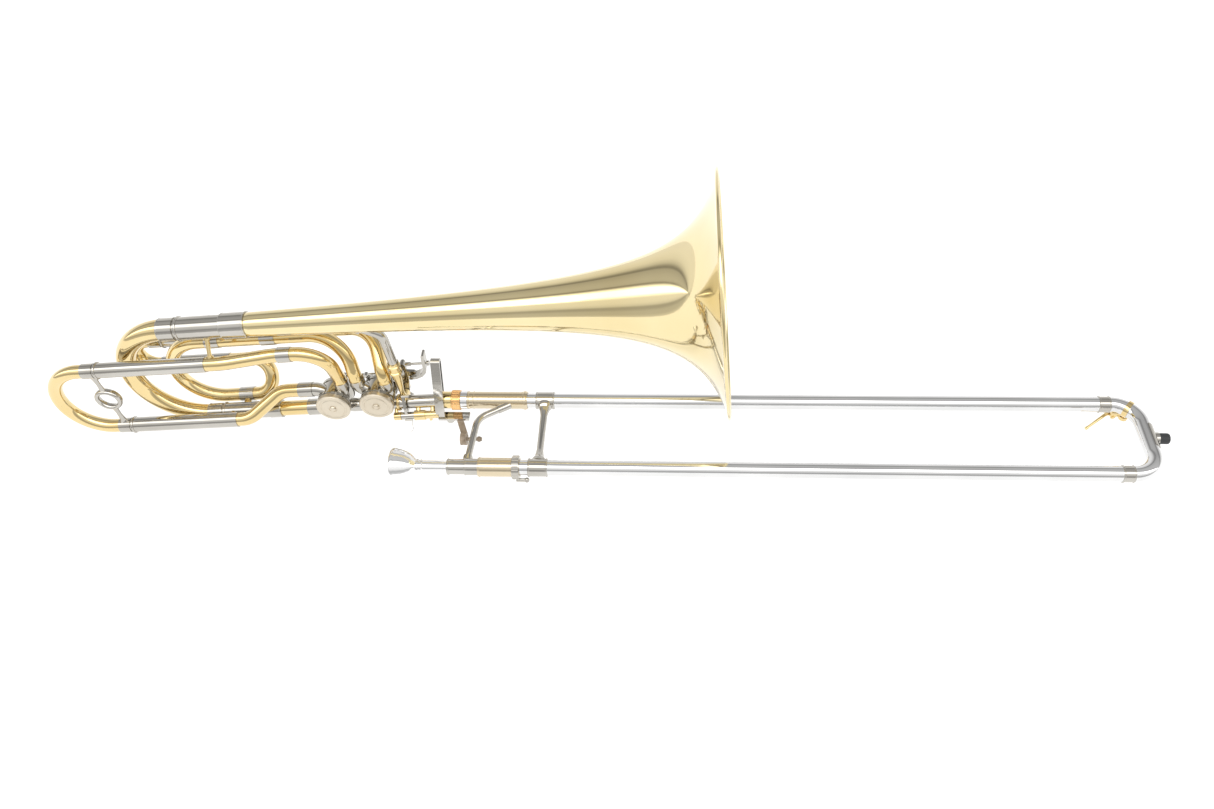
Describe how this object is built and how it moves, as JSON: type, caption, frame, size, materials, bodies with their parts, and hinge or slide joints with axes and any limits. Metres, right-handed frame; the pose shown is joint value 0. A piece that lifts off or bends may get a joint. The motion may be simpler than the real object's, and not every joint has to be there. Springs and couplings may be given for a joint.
{
  "type": "bass trombone",
  "caption": "Slide trombone with a flared bell, rotary valves worked by thumb and finger triggers, tuning slides, a hand slide with water key, and a mouthpiece.",
  "frame": {"origin": "on the neck-side slide axis at the connecting nut, where the left hand holds the instrument", "axes": "+X along the hand slide toward the crook, +Y from the mouthpiece tube toward the neck-side tube, +Z toward the bell"},
  "size_m": [1.1624, 0.2412, 0.3061],
  "materials": {
    "lacquered_brass": "polished and lacquered",
    "nickel_silver": "polished",
    "slide_chrome": "polished",
    "champagne_nickel": "polished",
    "copper_brass": "polished and lacquered",
    "satin_cap": "satin",
    "silver_plate": "polished silver plate",
    "black_rubber": "matt",
    "leather_brown": "satin"
  },
  "bodies": {
    "bell_section": {"bell": "lacquered_brass", "bell_ferrule": "nickel_silver", "main_sleeves": "nickel_silver", "goosepipe": "lacquered_brass", "tube_ferrules": "nickel_silver", "gb_casing": "nickel_silver", "f_casing": "nickel_silver", "valve_link": "nickel_silver", "gb_cap": "satin_cap", "f_cap": "satin_cap", "neck_collar": "lacquered_brass", "neckpipe": "nickel_silver", "neck_receiver": "lacquered_brass", "gb_sleeves": "nickel_silver", "gb_upper_tube": "lacquered_brass", "gb_gooseneck": "lacquered_brass", "gb_lower_tube": "lacquered_brass", "f_gooseneck": "lacquered_brass", "f_bow": "lacquered_brass", "f_return_bend": "lacquered_brass", "f_sleeves": "nickel_silver", "f_long_tube": "lacquered_brass", "loop_braces": "lacquered_brass", "bell_brace": "nickel_silver", "brace_foot": "lacquered_brass", "f_trigger_bracket": "lacquered_brass", "gb_hinge_tube": "lacquered_brass", "hand_rest": "nickel_silver", "finger_rest": "leather_brown", "inner_tubes": "slide_chrome", "cork_barrels": "champagne_nickel", "mouthpiece_receiver": "nickel_silver", "grip_brace": "nickel_silver"},
    "hand_slide": {"outer_tubes": "slide_chrome", "slide_brace": "nickel_silver", "crook": "slide_chrome", "crook_ferrules": "nickel_silver", "bumper_plate": "nickel_silver", "bumper": "black_rubber", "water_key_saddle": "lacquered_brass"},
    "water_key": {"water_key": "lacquered_brass"},
    "main_tuning_slide": {"main_bow": "lacquered_brass", "main_legs": "nickel_silver"},
    "gb_tuning_slide": {"gb_bow": "lacquered_brass", "gb_legs": "nickel_silver", "gb_finger_ring": "nickel_silver"},
    "f_tuning_slide": {"f_slide_bow": "lacquered_brass", "f_slide_legs": "nickel_silver"},
    "f_trigger": {"f_trigger": "nickel_silver"},
    "f_rotor": {"f_rotor": "lacquered_brass", "f_rotor_arm": "nickel_silver"},
    "f_rod": {"f_link_rod": "nickel_silver"},
    "gb_trigger": {"gb_trigger": "nickel_silver"},
    "gb_crank": {"gb_crank": "nickel_silver"},
    "gb_rotor": {"gb_rotor": "lacquered_brass", "gb_rotor_arm": "nickel_silver"},
    "gb_rod": {"gb_link_rod": "nickel_silver"},
    "slide_lock": {"slide_lock": "nickel_silver"},
    "connecting_nut": {"connecting_nut": "copper_brass"},
    "mouthpiece": {"mouthpiece": "silver_plate"}
  },
  "joints": [
    {"name": "hand_slide_travel", "type": "slide", "parent": "bell_section", "child": "hand_slide", "axis": [1, 0, 0], "range_m": [0, 0.6]},
    {"name": "main_tuning_pull", "type": "slide", "parent": "bell_section", "child": "main_tuning_slide", "axis": [-0.9964, 0, -0.0851], "range_m": [0, 0.035]},
    {"name": "gb_tuning_pull", "type": "slide", "parent": "bell_section", "child": "gb_tuning_slide", "axis": [-0.9964, 0, -0.0851], "range_m": [0, 0.09]},
    {"name": "f_tuning_pull", "type": "slide", "parent": "bell_section", "child": "f_tuning_slide", "axis": [-0.9964, 0, -0.0851], "range_m": [0, 0.04]},
    {"name": "f_trigger_press", "type": "hinge", "parent": "bell_section", "child": "f_trigger", "pos_m": [-0.05809, 0.0172, -0.00092], "axis": [0, -1, 0], "range_deg": [0, 22], "stiffness_Nm_per_rad": 0.25, "springref_deg": -20.05},
    {"name": "f_rotor_turn", "type": "hinge", "parent": "bell_section", "child": "f_rotor", "pos_m": [-0.08385, 0, 0.00691], "axis": [0, -1, 0], "range_deg": [0, 90]},
    {"name": "f_rod_swing", "type": "hinge", "parent": "f_rotor", "child": "f_rod", "pos_m": [-0.07741, 0.0205, 0.01456], "axis": [0, -1, 0], "range_deg": [-90, 0]},
    {"name": "gb_trigger_press", "type": "hinge", "parent": "bell_section", "child": "gb_trigger", "pos_m": [-0.04607, -0.0115, -0.01244], "axis": [0.9964, 0, 0.0851], "range_deg": [0, 20], "stiffness_Nm_per_rad": 0.25, "springref_deg": -20.05},
    {"name": "gb_crank_turn", "type": "hinge", "parent": "bell_section", "child": "gb_crank", "pos_m": [-0.07386, 0.0245, -0.00428], "axis": [0, -1, 0], "range_deg": [0, 33.2]},
    {"name": "gb_rotor_turn", "type": "hinge", "parent": "bell_section", "child": "gb_rotor", "pos_m": [-0.13167, 0, 0.00283], "axis": [0, -1, 0], "range_deg": [0, 90]},
    {"name": "gb_rod_swing", "type": "hinge", "parent": "gb_rotor", "child": "gb_rod", "pos_m": [-0.127, 0.0275, 0.00838], "axis": [0, -1, 0], "range_deg": [-90, 0]},
    {"name": "water_key_open", "type": "hinge", "parent": "hand_slide", "child": "water_key", "pos_m": [0.69, 0, -0.0136], "axis": [0, 1, 0], "range_deg": [0, 20], "stiffness_Nm_per_rad": 0.02, "springref_deg": -28.65},
    {"name": "slide_lock_turn", "type": "hinge", "parent": "bell_section", "child": "slide_lock", "pos_m": [0.0737, -0.0909, 0], "axis": [1, 0, 0], "range_deg": [0, 40]},
    {"name": "connecting_nut_turn", "type": "hinge", "parent": "bell_section", "child": "connecting_nut", "pos_m": [0, 0, 0], "axis": [1, 0, 0], "continuous": true},
    {"name": "mouthpiece_pull", "type": "slide", "parent": "bell_section", "child": "mouthpiece", "axis": [-1, 0, 0], "range_m": [0, 0.06]}
  ],
  "couplings": [
    {"joint": "f_rotor_turn", "follows": "f_trigger_press", "ratio": 4.0909},
    {"joint": "f_rod_swing", "follows": "f_trigger_press", "ratio": -4.0909},
    {"joint": "gb_crank_turn", "follows": "gb_trigger_press", "ratio": 1.655},
    {"joint": "gb_rotor_turn", "follows": "gb_trigger_press", "ratio": 4.5},
    {"joint": "gb_rod_swing", "follows": "gb_trigger_press", "ratio": -4.5}
  ]
}
